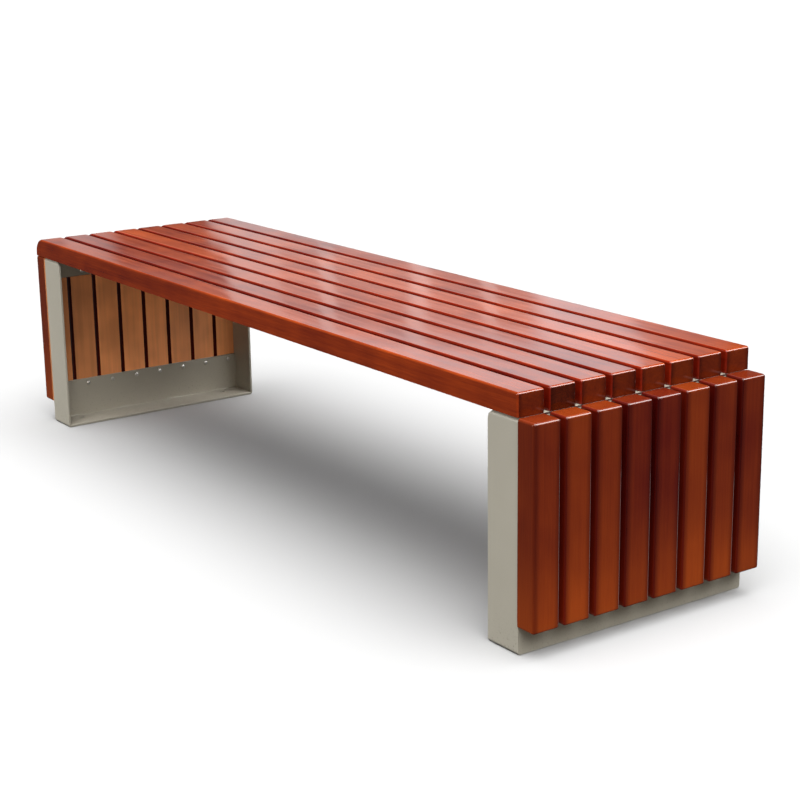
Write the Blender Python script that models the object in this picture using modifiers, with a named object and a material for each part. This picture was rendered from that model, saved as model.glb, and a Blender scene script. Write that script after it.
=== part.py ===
"""Slatted garden bench: timber slats on two open, painted sheet-steel end frames.

Metres, +Z up. The origin is on the ground under the middle of the bench. +X runs along the
bench towards the end where the seat slats are cut square, and -Y is the front.
"""

import math

import bmesh
import bpy
from mathutils import Matrix, Vector

# Whole bench
BENCH_LENGTH = 1.908  # over the outer faces of the end slats
SEAT_HEIGHT = 0.452
CLEARANCE = 0.0003  # gap left between pieces that touch

# Timber slats, all planed to one section
SLAT_COUNT = 8
SLAT_WIDTH = 0.057
SLAT_THICKNESS = 0.042
SLAT_GAP = 0.0095
SEAT_EDGE_RADIUS = 0.003
END_EDGE_RADIUS = 0.005
NOSE_RADIUS = 0.034  # large round over the seat slats' left ends
NOSE_SEGMENTS = 6
EDGE_SEGMENTS = 2
END_SLAT_BOTTOM = 0.0495
END_SLAT_DROP = 0.0005  # end slats stop this far below the seat slats

# End frames, folded and welded from flat plate
PLATE = 0.005
FRAME_DEPTH = 0.081
FRAME_WIDTH = 0.518
FOLD_RADIUS = 0.009  # outer radius where the sides fold over into the top
FOOT_FOLD_RADIUS = 0.006  # and where they fold under into the foot
CORNER_RADIUS = 0.018  # inner top corner of each side plate
CORNER_SEGMENTS = 6
ARC_SEGMENTS = 4
OVERCUT = 0.010  # how far a cutter stands past what it cuts
UPPER_STRIP_BOTTOM = 0.355
LOWER_STRIP_TOP = 0.095
ANCHOR_HOLE_RADIUS = 0.006
ANCHOR_HOLE_SIDES = 16
ANCHOR_INSET = 0.0287  # from the frame's outer face
ANCHOR_OFFSET = 0.200  # either side of the bench's centre line

# Flat bars that tie the seat slats together between the frames
STRAP_WIDTH = 0.040
STRAP_THICKNESS = 0.006
STRAP_LENGTH = 0.480
STRAP_OFFSET = 0.277
STRAP_CORNER_RADIUS = 0.006

# Pan-head wood screws
SHANK_RADIUS = 0.0025
HOLE_RADIUS = SHANK_RADIUS + CLEARANCE
HEAD_RADIUS = 0.0050
HEAD_RIM = 0.0016
HEAD_HEIGHT = 0.0030
SCREW_BITE = 0.024  # length of thread in the timber
TIP_LENGTH = 0.004
SCREW_SIDES = 8
SCREW_EDGE_INSET = 0.012  # from a strip's window-side edge

# Worked out from the sizes above
SLAT_PITCH = SLAT_WIDTH + SLAT_GAP
SEAT_UNDERSIDE = SEAT_HEIGHT - SLAT_THICKNESS
END_SLAT_TOP = SEAT_UNDERSIDE - END_SLAT_DROP
END_SLAT_INNER = BENCH_LENGTH / 2 - SLAT_THICKNESS
FRAME_TOP = SEAT_UNDERSIDE - CLEARANCE
FRAME_OUTER = END_SLAT_INNER - CLEARANCE
FRAME_INNER = FRAME_OUTER - FRAME_DEPTH
TOP_PLATE_INNER = FRAME_INNER + CORNER_RADIUS
TOP_SCREW_X = (TOP_PLATE_INNER + FRAME_OUTER) / 2
SCREW_SEAT_X = FRAME_OUTER - PLATE - CLEARANCE  # where the screw heads sit, inside the strips
PILOT_DEPTH = SCREW_BITE + 2 * CLEARANCE  # a little past the screw's tip
SLAT_CENTRES = [(i - (SLAT_COUNT - 1) / 2) * SLAT_PITCH for i in range(SLAT_COUNT)]

SMOOTH_ANGLE = math.radians(35)
WELD_DISTANCE = 0.00001


def clear_scene():
    """Remove every object that the file opened with."""
    for obj in list(bpy.data.objects):
        bpy.data.objects.remove(obj)


def new_collection(name):
    """A collection linked to the scene."""
    collection = bpy.data.collections.new(name)
    bpy.context.scene.collection.children.link(collection)
    return collection


def new_material(name, color, roughness, metallic):
    """A plain Principled material."""
    material = bpy.data.materials.new(name)
    material.use_nodes = True
    shader = material.node_tree.nodes["Principled BSDF"]
    shader.inputs["Base Color"].default_value = (*color, 1.0)
    shader.inputs["Roughness"].default_value = roughness
    shader.inputs["Metallic"].default_value = metallic
    return material


clear_scene()
PARTS = new_collection("garden_bench")
CUTTERS = new_collection("garden_bench_cutters")
SEAT_TIMBER = new_material("seat_timber", (0.36, 0.075, 0.03), 0.22, 0.0)
END_TIMBER = new_material("end_timber", (0.30, 0.055, 0.022), 0.24, 0.0)
FRAME_PAINT = new_material("frame_paint", (0.44, 0.41, 0.34), 0.50, 0.0)
SCREW_ZINC = new_material("screw_zinc", (0.62, 0.62, 0.60), 0.35, 1.0)


def add_empty(name, parent=None, half_turn=False):
    """An empty that pieces are parented to, or that turns them half way round the vertical."""
    empty = bpy.data.objects.new(name, None)
    empty.rotation_mode = "QUATERNION"
    if half_turn:
        empty.rotation_quaternion = (0.0, 0.0, 0.0, 1.0)
    empty.parent = parent
    PARTS.objects.link(empty)
    return empty


def add_piece(name, mesh, material, parent, location):
    """A named part of the bench, placed in its parent's frame."""
    mesh.materials.clear()
    mesh.materials.append(material)
    piece = bpy.data.objects.new(name, mesh)
    piece.parent = parent
    piece.location = location
    PARTS.objects.link(piece)
    return piece


def hide_cutter(cutter):
    """Cutters and guides are shown as wire and never rendered."""
    cutter.hide_render = True
    cutter.display_type = "WIRE"


def apply_boolean(piece, cutter, operation):
    """Leave an exact Boolean on a piece, using a cutter in the same frame."""
    cutter.parent = piece.parent
    modifier = piece.modifiers.new(cutter.name, "BOOLEAN")
    modifier.operation = operation
    modifier.solver = "EXACT"
    modifier.object = cutter
    hide_cutter(cutter)


def block_mesh(name, size):
    """A box with its centre at the origin."""
    bm = bmesh.new()
    bmesh.ops.create_cube(bm, size=1.0)
    bmesh.ops.scale(bm, vec=Vector(size), verts=bm.verts)
    mesh = bpy.data.meshes.new(name)
    bm.to_mesh(mesh)
    bm.free()
    return mesh


def round_edges(piece, radius):
    """Round every right-angled edge of a piece."""
    bevel = piece.modifiers.new("edge_round", "BEVEL")
    bevel.width = radius
    bevel.segments = EDGE_SEGMENTS
    bevel.limit_method = "ANGLE"
    bevel.angle_limit = SMOOTH_ANGLE


def arc_points(corner, before, after, radius):
    """Points of the arc that rounds one right-angled corner of an outline."""
    start_way = (before - corner).normalized()
    end_way = (after - corner).normalized()
    centre = corner + (start_way + end_way) * radius
    points = []
    for step in range(ARC_SEGMENTS + 1):
        angle = step / ARC_SEGMENTS * math.pi / 2
        offset = end_way * math.cos(angle) + start_way * math.sin(angle)
        points.append(centre - offset * radius)
    return points


def rounded_outline(corners):
    """An outline from (u, v, radius) corners, with an arc where the radius isn't zero."""
    spots = [Vector((u, v)) for u, v, _ in corners]
    points = []
    for i, (_, _, radius) in enumerate(corners):
        if radius:
            after = spots[(i + 1) % len(spots)]
            points.extend(arc_points(spots[i], spots[i - 1], after, radius))
        else:
            points.append(spots[i])
    return points


# How an outline's own (u, v, depth) axes lie in the bench, by the direction it is extruded in
EXTRUDE_AXES = {
    "X": Matrix(((0, 0, 1), (1, 0, 0), (0, 1, 0))),
    "Y": Matrix(((1, 0, 0), (0, 0, -1), (0, 1, 0))),
    "Z": Matrix.Identity(3),
}


def prism_mesh(name, corners, depth, along):
    """A flat outline extruded by depth along X (u, v = y, z), Y (x, z) or Z (x, y)."""
    curve = bpy.data.curves.new(name, "CURVE")
    curve.dimensions = "2D"
    curve.fill_mode = "BOTH"
    curve.extrude = depth / 2
    points = rounded_outline(corners)
    spline = curve.splines.new("POLY")
    spline.points.add(len(points) - 1)
    for spline_point, point in zip(spline.points, points):
        spline_point.co = (point.x, point.y, 0.0, 1.0)
    spline.use_cyclic_u = True
    outline = bpy.data.objects.new(name, curve)
    PARTS.objects.link(outline)
    depsgraph = bpy.context.evaluated_depsgraph_get()
    mesh = bpy.data.meshes.new_from_object(outline.evaluated_get(depsgraph))
    bpy.data.objects.remove(outline)
    bpy.data.curves.remove(curve)
    mesh.transform(EXTRUDE_AXES[along].to_4x4())
    close_mesh(mesh)
    return mesh


def close_mesh(mesh):
    """Weld a mesh's loose caps and point its faces outwards."""
    bm = bmesh.new()
    bm.from_mesh(mesh)
    bmesh.ops.remove_doubles(bm, verts=bm.verts, dist=WELD_DISTANCE)
    bmesh.ops.recalc_face_normals(bm, faces=bm.faces)
    bm.to_mesh(mesh)
    bm.free()


def rectangle(u_low, u_high, v_low, v_high, radius=0.0):
    """The corners of an upright rectangle, all with one radius."""
    return [
        (u_low, v_low, radius),
        (u_high, v_low, radius),
        (u_high, v_high, radius),
        (u_low, v_high, radius),
    ]


def drill(piece, name, spots, direction, length, radius=HOLE_RADIUS, sides=SCREW_SIDES):
    """Cut straight holes that are centred on the given spots of the piece's parent frame."""
    turn = Vector((0, 0, 1)).rotation_difference(Vector(direction)).to_matrix().to_4x4()
    bm = bmesh.new()
    for spot in spots:
        bmesh.ops.create_cone(
            bm,
            cap_ends=True,
            segments=sides,
            radius1=radius,
            radius2=radius,
            depth=length,
            matrix=Matrix.Translation(spot) @ turn,
        )
    mesh = bpy.data.meshes.new(name)
    bm.to_mesh(mesh)
    bm.free()
    cutter = bpy.data.objects.new(name, mesh)
    CUTTERS.objects.link(cutter)
    apply_boolean(piece, cutter, "DIFFERENCE")


def screw_mesh():
    """A pan-head screw turned about Z. Its head sits on z = 0 and its tip points down."""
    length = END_SLAT_INNER - SCREW_SEAT_X + SCREW_BITE
    profile = [
        (0.0, HEAD_HEIGHT),
        (HEAD_RADIUS, HEAD_RIM),
        (HEAD_RADIUS, 0.0),
        (SHANK_RADIUS, 0.0),
        (SHANK_RADIUS, TIP_LENGTH - length),
        (0.0, -length),
    ]
    mesh = bpy.data.meshes.new("screw_profile")
    edges = [(i, i + 1) for i in range(len(profile) - 1)]
    mesh.from_pydata([(r, 0.0, z) for r, z in profile], edges, [])
    template = bpy.data.objects.new("screw_profile", mesh)
    PARTS.objects.link(template)
    turned = template.modifiers.new("turned", "SCREW")
    turned.angle = math.tau
    turned.steps = SCREW_SIDES
    turned.render_steps = SCREW_SIDES
    turned.use_merge_vertices = True
    turned.merge_threshold = WELD_DISTANCE
    depsgraph = bpy.context.evaluated_depsgraph_get()
    solid = bpy.data.meshes.new_from_object(template.evaluated_get(depsgraph))
    solid.name = "pan_head_screw"
    bpy.data.objects.remove(template)
    close_mesh(solid)
    solid.shade_smooth()
    solid.set_sharp_from_angle(angle=SMOOTH_ANGLE)
    return solid


def build_screws(end, side, row, numbers, height, mesh):
    """One screw for each end slat, driven outwards from the inner face of a strip."""
    for number, y in zip(numbers, SLAT_CENTRES):
        location = (SCREW_SEAT_X, y, height)
        screw = add_piece(f"{side}_{row}_screw_{number}", mesh, SCREW_ZINC, end, location)
        screw.rotation_euler.y = -math.pi / 2


def seat_slat_mesh(name, length):
    """A seat slat with its left end's top corner rounded over."""
    bm = bmesh.new()
    bmesh.ops.create_cube(bm, size=1.0)
    bmesh.ops.scale(bm, vec=Vector((length, SLAT_WIDTH, SLAT_THICKNESS)), verts=bm.verts)
    nose = [e for e in bm.edges if all(v.co.x < 0 < v.co.z for v in e.verts)]
    bmesh.ops.bevel(
        bm,
        geom=nose,
        offset=NOSE_RADIUS,
        segments=NOSE_SEGMENTS,
        profile=0.5,
        affect="EDGES",
    )
    mesh = bpy.data.meshes.new(name)
    bm.to_mesh(mesh)
    bm.free()
    return mesh


def build_seat(bench):
    """Eight long slats, overhanging the left end slats and square to the right frame."""
    left = -BENCH_LENGTH / 2
    right = END_SLAT_INNER
    for i, y in enumerate(SLAT_CENTRES):
        name = f"seat_slat_{i + 1}"
        middle = ((left + right) / 2, y, SEAT_UNDERSIDE + SLAT_THICKNESS / 2)
        mesh = seat_slat_mesh(name, right - left)
        slat = add_piece(name, mesh, SEAT_TIMBER, bench, middle)
        round_edges(slat, SEAT_EDGE_RADIUS)
        places = (-TOP_SCREW_X, -STRAP_OFFSET, STRAP_OFFSET, TOP_SCREW_X)
        spots = [(x, y, SEAT_UNDERSIDE) for x in places]
        drill(slat, f"{name}_pilots", spots, (0, 0, 1), 2 * PILOT_DEPTH)


def build_strap(bench, side, x):
    """A flat bar under the seat, drilled for a screw up into every slat."""
    outline = rectangle(
        -STRAP_WIDTH / 2,
        STRAP_WIDTH / 2,
        -STRAP_LENGTH / 2,
        STRAP_LENGTH / 2,
        STRAP_CORNER_RADIUS,
    )
    name = f"seat_strap_{side}"
    mesh = prism_mesh(name, outline, STRAP_THICKNESS, "Z")
    middle = (x, 0.0, FRAME_TOP - STRAP_THICKNESS / 2)
    strap = add_piece(name, mesh, FRAME_PAINT, bench, middle)
    holes = [(x, y, middle[2]) for y in SLAT_CENTRES]
    drill(strap, f"{name}_holes", holes, (0, 0, 1), 2 * STRAP_THICKNESS)


def add_guide(name, mesh, location):
    """A shape that only cuts or joins another piece."""
    guide = bpy.data.objects.new(name, mesh)
    guide.location = location
    CUTTERS.objects.link(guide)
    return guide


def hoop_outline(inset):
    """The hoop's section, in (y, z) corners, at a depth below its outer surface."""
    half = FRAME_WIDTH / 2 - inset
    foot_radius = FOOT_FOLD_RADIUS - inset
    fold_radius = FOLD_RADIUS - inset
    return [
        (-half, inset, foot_radius),
        (half, inset, foot_radius),
        (half, FRAME_TOP - inset, fold_radius),
        (-half, FRAME_TOP - inset, fold_radius),
    ]


def corner_guide_mesh(name):
    """Everything outside the arc that rounds the side plates' inner top corners."""
    inner = FRAME_INNER - OVERCUT
    top = FRAME_TOP + OVERCUT
    shape = [
        (inner, top, 0.0),
        (inner, FRAME_TOP - CORNER_RADIUS, 0.0),
        (FRAME_INNER, FRAME_TOP - CORNER_RADIUS, 0.0),
    ]
    for step in range(1, CORNER_SEGMENTS):
        angle = step / CORNER_SEGMENTS * math.pi / 2
        x = FRAME_INNER + CORNER_RADIUS * (1 - math.cos(angle))
        z = FRAME_TOP - CORNER_RADIUS * (1 - math.sin(angle))
        shape.append((x, z, 0.0))
    shape.append((TOP_PLATE_INNER, FRAME_TOP, 0.0))
    shape.append((TOP_PLATE_INNER, top, 0.0))
    return prism_mesh(name, shape, FRAME_WIDTH + 2 * OVERCUT, "Y")


def build_frame(end, side, screw_heights):
    """One end frame: a hoop folded from one plate, with two cross strips welded into it."""
    name = f"{side}_end_frame"
    spot = ((FRAME_INNER + FRAME_OUTER) / 2, 0, 0)
    hoop = prism_mesh(name, hoop_outline(0.0), FRAME_DEPTH, "X")
    frame = add_piece(name, hoop, FRAME_PAINT, end, spot)
    middle_mesh = prism_mesh(f"{name}_middle", hoop_outline(PLATE), FRAME_DEPTH + 2 * OVERCUT, "X")
    middle = add_guide(f"{name}_middle", middle_mesh, spot)
    apply_boolean(frame, middle, "DIFFERENCE")

    corner = add_guide(f"{name}_corner", corner_guide_mesh(f"{name}_corner"), (0, 0, 0))
    apply_boolean(frame, corner, "DIFFERENCE")

    # The top plate is cut back to where the rounded corners end.
    notch_low = FRAME_INNER - OVERCUT
    notch_size = (TOP_PLATE_INNER - notch_low, FRAME_WIDTH - 2 * FOLD_RADIUS, 4 * PLATE)
    notch_spot = ((notch_low + TOP_PLATE_INNER) / 2, 0, FRAME_TOP)
    notch = add_guide(f"{name}_notch", block_mesh(f"{name}_notch", notch_size), notch_spot)
    apply_boolean(frame, notch, "DIFFERENCE")

    # The cross strips run half way into the plates that they meet.
    below, above = hoop_outline(PLATE / 2)[:2], hoop_outline(PLATE / 2)[2:]
    reach = FRAME_WIDTH / 2 - PLATE / 2
    plate_x = FRAME_OUTER - PLATE / 2
    lower = below + [(reach, LOWER_STRIP_TOP, 0.0), (-reach, LOWER_STRIP_TOP, 0.0)]
    upper = [(-reach, UPPER_STRIP_BOTTOM, 0.0), (reach, UPPER_STRIP_BOTTOM, 0.0)] + above
    for strip, outline in (("lower_strip", lower), ("upper_strip", upper)):
        guide_name = f"{name}_{strip}"
        guide = add_guide(guide_name, prism_mesh(guide_name, outline, PLATE, "X"), (plate_x, 0, 0))
        apply_boolean(frame, guide, "UNION")

    strip_holes = [(plate_x, y, z) for z in screw_heights for y in SLAT_CENTRES]
    drill(frame, f"{name}_strip_holes", strip_holes, (1, 0, 0), 2 * PLATE)
    top_holes = [(TOP_SCREW_X, y, FRAME_TOP - PLATE / 2) for y in SLAT_CENTRES]
    drill(frame, f"{name}_top_holes", top_holes, (0, 0, 1), 2 * PLATE)
    anchor_x = FRAME_OUTER - ANCHOR_INSET
    anchors = [(anchor_x, y, PLATE / 2) for y in (-ANCHOR_OFFSET, ANCHOR_OFFSET)]
    size = {"radius": ANCHOR_HOLE_RADIUS, "sides": ANCHOR_HOLE_SIDES}
    drill(frame, f"{name}_anchor_holes", anchors, (0, 0, 1), 2 * PLATE, **size)


def end_slat_mesh(name, size):
    """An upright slat, rounded all over except round its inner face, which lies on the frame."""
    bm = bmesh.new()
    bmesh.ops.create_cube(bm, size=1.0)
    bmesh.ops.scale(bm, vec=Vector(size), verts=bm.verts)
    outer = [e for e in bm.edges if any(v.co.x > 0 for v in e.verts)]
    bmesh.ops.bevel(
        bm,
        geom=outer,
        offset=END_EDGE_RADIUS,
        segments=EDGE_SEGMENTS,
        profile=0.5,
        affect="EDGES",
    )
    mesh = bpy.data.meshes.new(name)
    bm.to_mesh(mesh)
    bm.free()
    return mesh


def build_end_slats(end, side, numbers, screw_heights):
    """Upright slats on the frame's outer face, in line with the seat slats."""
    height = END_SLAT_TOP - END_SLAT_BOTTOM
    middle_x = END_SLAT_INNER + SLAT_THICKNESS / 2
    middle_z = END_SLAT_BOTTOM + height / 2
    for number, y in zip(numbers, SLAT_CENTRES):
        name = f"{side}_end_slat_{number}"
        mesh = end_slat_mesh(name, (SLAT_THICKNESS, SLAT_WIDTH, height))
        slat = add_piece(name, mesh, END_TIMBER, end, (middle_x, y, middle_z))
        spots = [(END_SLAT_INNER, y, z) for z in screw_heights]
        drill(slat, f"{name}_pilots", spots, (1, 0, 0), 2 * PILOT_DEPTH)


def build_end(bench, side, half_turn, numbers, screw):
    """One end of the bench in its own frame, whose +X points outwards.

    The left end is the right one turned half way round, so its slats count the other way.
    """
    end = add_empty(f"{side}_end", bench, half_turn)
    lower = LOWER_STRIP_TOP - SCREW_EDGE_INSET
    upper = UPPER_STRIP_BOTTOM + SCREW_EDGE_INSET
    build_frame(end, side, (lower, upper))
    build_end_slats(end, side, numbers, (lower, upper))
    build_screws(end, side, "lower", numbers, lower, screw)
    build_screws(end, side, "upper", numbers, upper, screw)


def build_bench():
    """The whole bench, every piece parented under one empty."""
    bench = add_empty("bench")
    front_to_back = list(range(1, SLAT_COUNT + 1))
    screw = screw_mesh()
    build_seat(bench)
    build_strap(bench, "left", -STRAP_OFFSET)
    build_strap(bench, "right", STRAP_OFFSET)
    build_end(bench, "right", False, front_to_back, screw)
    build_end(bench, "left", True, front_to_back[::-1], screw)


build_bench()
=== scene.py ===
"""Looks for the slatted garden bench: varnished timber slats on painted sheet-steel end frames.

Metres, +Z up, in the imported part's own frame: +X runs along the bench and -Y is its front.
"""

import math

import bmesh
import bpy
from mathutils import Matrix, Vector, noise


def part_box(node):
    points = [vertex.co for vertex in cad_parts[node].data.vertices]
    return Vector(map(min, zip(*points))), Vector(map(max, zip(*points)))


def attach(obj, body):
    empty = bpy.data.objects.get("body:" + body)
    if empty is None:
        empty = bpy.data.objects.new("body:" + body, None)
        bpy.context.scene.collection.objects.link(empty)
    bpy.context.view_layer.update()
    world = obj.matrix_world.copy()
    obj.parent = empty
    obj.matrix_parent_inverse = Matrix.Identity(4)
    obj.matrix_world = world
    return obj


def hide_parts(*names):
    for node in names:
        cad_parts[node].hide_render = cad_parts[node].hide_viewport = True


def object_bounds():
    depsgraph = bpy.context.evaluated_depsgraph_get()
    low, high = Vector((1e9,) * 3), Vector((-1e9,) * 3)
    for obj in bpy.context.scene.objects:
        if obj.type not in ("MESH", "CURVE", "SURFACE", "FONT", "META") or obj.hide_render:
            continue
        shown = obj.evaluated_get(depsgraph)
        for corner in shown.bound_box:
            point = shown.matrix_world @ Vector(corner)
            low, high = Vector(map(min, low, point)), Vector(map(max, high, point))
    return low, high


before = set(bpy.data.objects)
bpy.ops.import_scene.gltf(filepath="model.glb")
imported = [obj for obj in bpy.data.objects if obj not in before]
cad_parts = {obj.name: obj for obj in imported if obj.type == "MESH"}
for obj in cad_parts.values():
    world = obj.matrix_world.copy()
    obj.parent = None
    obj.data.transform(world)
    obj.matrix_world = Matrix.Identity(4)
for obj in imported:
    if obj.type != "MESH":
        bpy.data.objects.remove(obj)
CAD_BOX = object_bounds()

SCENE = bpy.context.scene
SIDES = {"left": -1, "right": 1}
SLAT_COUNT = 8
FRAME_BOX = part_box("right_end_frame")

# Camera
CAMERA_SPOT = Vector((3.0218, -1.9654, 1.1736))
CAMERA_AZIMUTH = 55.038
CAMERA_ELEVATION = 15.105
CAMERA_ROLL = -0.837
CAMERA_LENS = 79.12
CAMERA_SENSOR = 36.0

# Timber
SEAT_EDGE_RADIUS = 0.0045
END_EDGE_RADIUS = 0.005
ARRIS_RADIUS = 0.0003  # edges left almost sharp, where a slat lies on its frame
EDGE_SEGMENTS = 4
NOSE_RADIUS = 0.034
NOSE_SEGMENTS = 18
STATION = 0.045  # spacing of the cross-sections along a slat
PLANING_DEPTH = 0.00028  # how far a face wanders below its true plane
WANDER_ACROSS = 22.0  # the wander's noise scale across a slat, per metre
WANDER_ALONG = 4.0
WANDER_OFFSETS = (3.1, 5.7, 7.9)  # where in the noise a slat's faces start, times its seed
PILOT_RADIUS = 0.0028
PILOT_DEPTH = 0.0246
PILOT_SIDES = 10

# End frames
PLATE = 0.005
FOLD_RADIUS = 0.009
FOOT_FOLD_RADIUS = 0.006
CORNER_RADIUS = 0.018
FOOT_FOLD_SEGMENTS = 10
FOLD_SEGMENTS = 14
CORNER_STEPS = 6
UPPER_STRIP_BOTTOM = 0.355
LOWER_STRIP_TOP = 0.095
SCREW_EDGE_INSET = 0.012
ANCHOR_HOLE_RADIUS = 0.006
ANCHOR_INSET = 0.0287
ANCHOR_OFFSET = 0.200
ANCHOR_SIDES = 24
PLATE_EDGE = 0.0007  # the paint rounds every plate edge this much
STRAP_CORNER_RADIUS = 0.006

# Weld beads
WELD_LEG = 0.0032
WELD_STEP = 0.0011
WELD_TAPER = 6.0  # a bead tapers over one part in this many of its length
WELD_RIPPLE = 0.14
WELD_RIPPLE_TURN = 2.1  # radians from one step to the next
WELD_SINK = 0.0004  # how far a bead's root goes into the corner
WELD_BULGE = 1.6
STITCHES = 4
STITCH_SPACING = 0.138
STITCH_REACH = 0.021  # half a stitch's length

# Pan-head screws
HEAD_RADIUS = 0.0050
HEAD_HEIGHT = 0.0030
SHANK_RADIUS = 0.0025
THREAD_DEPTH = 0.0006
THREAD_PITCH = 0.0020
SCREW_LENGTH = 0.0295
TIP_LENGTH = 0.004
CLEARANCE = 0.0003  # between a head and the plate over it
HOLE_RADIUS = 0.0028
HOLE_SIDES = 16
SCREW_SIDES = 20
DOME_STEPS = 7
NECK = 0.0006  # unthreaded shank under the head
RECESS_TOP = (0.0029, 0.0006)  # half length and half width of one slot of the cross
RECESS_BOTTOM = (0.0012, 0.0004)
RECESS_DEPTH = 0.0019
RECESS_TURN = math.radians(20)
SPIN_PER_METRE = 97.0  # turns each screw's recess its own way, by where it sits


# ---------------------------------------------------------------- mesh helpers


def mesh_from(bm, name):
    """Close a bmesh into a new mesh."""
    bmesh.ops.recalc_face_normals(bm, faces=bm.faces)
    mesh = bpy.data.meshes.new(name)
    bm.to_mesh(mesh)
    bm.free()
    return mesh


def applied(mesh, add_modifiers):
    """The mesh as it is after the modifiers that add_modifiers puts on it."""
    shell = bpy.data.objects.new("working_shell", mesh)
    SCENE.collection.objects.link(shell)
    add_modifiers(shell)
    depsgraph = bpy.context.evaluated_depsgraph_get()
    done = bpy.data.meshes.new_from_object(shell.evaluated_get(depsgraph), depsgraph=depsgraph)
    done.name = mesh.name
    bpy.data.objects.remove(shell)
    return done


def cut_holes(mesh, spots, direction, radius, length, sides=HOLE_SIDES):
    """The mesh with straight round holes through or into it, centred on the spots."""
    turn = Vector((0, 0, 1)).rotation_difference(Vector(direction)).to_matrix().to_4x4()
    bm = bmesh.new()
    for spot in spots:
        bmesh.ops.create_cone(
            bm,
            cap_ends=True,
            segments=sides,
            radius1=radius,
            radius2=radius,
            depth=length,
            matrix=Matrix.Translation(spot) @ turn,
        )
    cutter = bpy.data.objects.new("hole_cutter", mesh_from(bm, "hole_cutter"))
    SCENE.collection.objects.link(cutter)

    def drill(shell):
        modifier = shell.modifiers.new("holes", "BOOLEAN")
        modifier.operation = "DIFFERENCE"
        modifier.object = cutter

    done = applied(mesh, drill)
    bpy.data.objects.remove(cutter)
    return done


def add_piece(name, mesh, material, stands_for=None):
    """A visible piece of the bench that rides on its one body."""
    mesh.materials.clear()
    mesh.materials.append(material)
    mesh.shade_smooth()
    mesh.set_sharp_from_angle(angle=math.radians(40))
    piece = bpy.data.objects.new(name, mesh)
    SCENE.collection.objects.link(piece)
    normals = piece.modifiers.new("even_shading", "WEIGHTED_NORMAL")
    normals.keep_sharp = True
    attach(piece, "root")
    if stands_for:
        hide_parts(stands_for)
    return piece


def middle_of(name, axis):
    """The middle of a CAD node's box along one axis."""
    low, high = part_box(name)
    return (low[axis] + high[axis]) / 2


# ---------------------------------------------------------------- node helpers


def new_material(name):
    """An empty node material: its tree and its Principled shader."""
    material = bpy.data.materials.new(name)
    material.use_nodes = True
    return material, material.node_tree, material.node_tree.nodes["Principled BSDF"]


def add_node(tree, kind, inputs=None, **settings):
    """A node with its settings, and its inputs linked to sockets or set to values."""
    made = tree.nodes.new(kind)
    for name, value in settings.items():
        setattr(made, name, value)
    for key, value in (inputs or {}).items():
        if isinstance(value, bpy.types.NodeSocket):
            tree.links.new(value, made.inputs[key])
        else:
            made.inputs[key].default_value = value
    return made


def calc(tree, operation, first, second=0.0, third=0.0, clamp=False):
    """The result of a Math node."""
    inputs = {0: first, 1: second, 2: third}
    made = add_node(tree, "ShaderNodeMath", inputs, operation=operation, use_clamp=clamp)
    return made.outputs[0]


def vector_calc(tree, operation, first, second):
    """The result of a Vector Math node; second is a vector, or a number to scale by."""
    inputs = {0: first, "Scale" if operation == "SCALE" else 1: second}
    return add_node(tree, "ShaderNodeVectorMath", inputs, operation=operation).outputs[0]


def blend_colour(tree, factor, first, second, blend_type="MIX"):
    """The colour from a Mix node."""
    made = add_node(
        tree,
        "ShaderNodeMix",
        {0: factor, 6: first, 7: second},
        data_type="RGBA",
        blend_type=blend_type,
    )
    return made.outputs[2]


def remap(tree, value, low, high, to_low=0.0, to_high=1.0):
    """A value moved from one range to another, held inside it."""
    made = add_node(
        tree,
        "ShaderNodeMapRange",
        {0: value, 1: low, 2: high, 3: to_low, 4: to_high},
        interpolation_type="SMOOTHSTEP",
    )
    return made.outputs[0]


def multiply_colours(tree, *colours):
    """The product of some colours, plain levels among them."""
    product = colours[0]
    for colour in colours[1:]:
        product = blend_colour(tree, 1.0, product, colour, "MULTIPLY")
    return product


def add_bump(tree, shader, height, strength, distance):
    """Let a height stand out on the surface."""
    inputs = {"Strength": strength, "Distance": distance, "Height": height}
    bump = add_node(tree, "ShaderNodeBump", inputs)
    tree.links.new(bump.outputs[0], shader.inputs["Normal"])


def noise_value(tree, vector, scale, detail=2.0, roughness=0.5):
    """A noise texture's value, from 0 to 1."""
    made = add_node(
        tree,
        "ShaderNodeTexNoise",
        {"Vector": vector, "Scale": scale, "Detail": detail, "Roughness": roughness},
    )
    return made.outputs[0]


def rgb(*levels):
    """A colour with its alpha."""
    return (*levels, 1.0)


# ---------------------------------------------------------------- materials

MAROON = rgb(0.105, 0.0088, 0.0042)
ORANGE = rgb(0.370, 0.0660, 0.0075)
RAW_WOOD = rgb(0.750, 0.285, 0.100)
RIM_STAIN = rgb(0.46, 0.34, 0.46)
# Painted shade on faces that look into the gaps between slats
GAP_SHADE = rgb(0.62, 0.28, 0.44)
SEAT_STAIN = rgb(1.06, 0.92, 0.86)
# Painted shade on faces that don't look up, which makes the tops the lighter faces
SIDE_SHADE = rgb(0.80, 0.68, 0.80)  # on the seat slats' faces that don't face up
END_SIDE_SHADE = rgb(0.70, 0.66, 0.74)  # on the upright slats, but not their tops
FOOT_ORANGE = 0.45  # how much more orange an upright slat is at its foot
VARNISH_IOR = 1.5
AXIS_NAMES = "XYZ"
GREIGE = (rgb(0.395, 0.368, 0.300), rgb(0.440, 0.412, 0.340))
# Dust and painted shade: dark specks low down on the frames
LOW_DUST_AND_SHADE = rgb(0.17, 0.14, 0.10)
DUST_AND_SHADE_TOP = 0.10  # how high up the frames it reaches
DUST_AND_SHADE_SHARE = 0.55
# Painted shadow along the frames' outer top edges, under the slats
JOINT_SHADE = rgb(0.035, 0.008, 0.004)
ZINC_GREYS = (rgb(0.50, 0.49, 0.46), rgb(0.78, 0.77, 0.74))

# Grain, by its axis: 0 in the seat slats, 2 in the upright ones
GRAIN_STRETCH = 0.045  # grain is this much finer across a slat than along it
GRAIN_SHIFT = (0.731, 0.417, 0.613)  # where in the noise a slat starts, times its seed
RING_WANDER = 0.016
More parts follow.
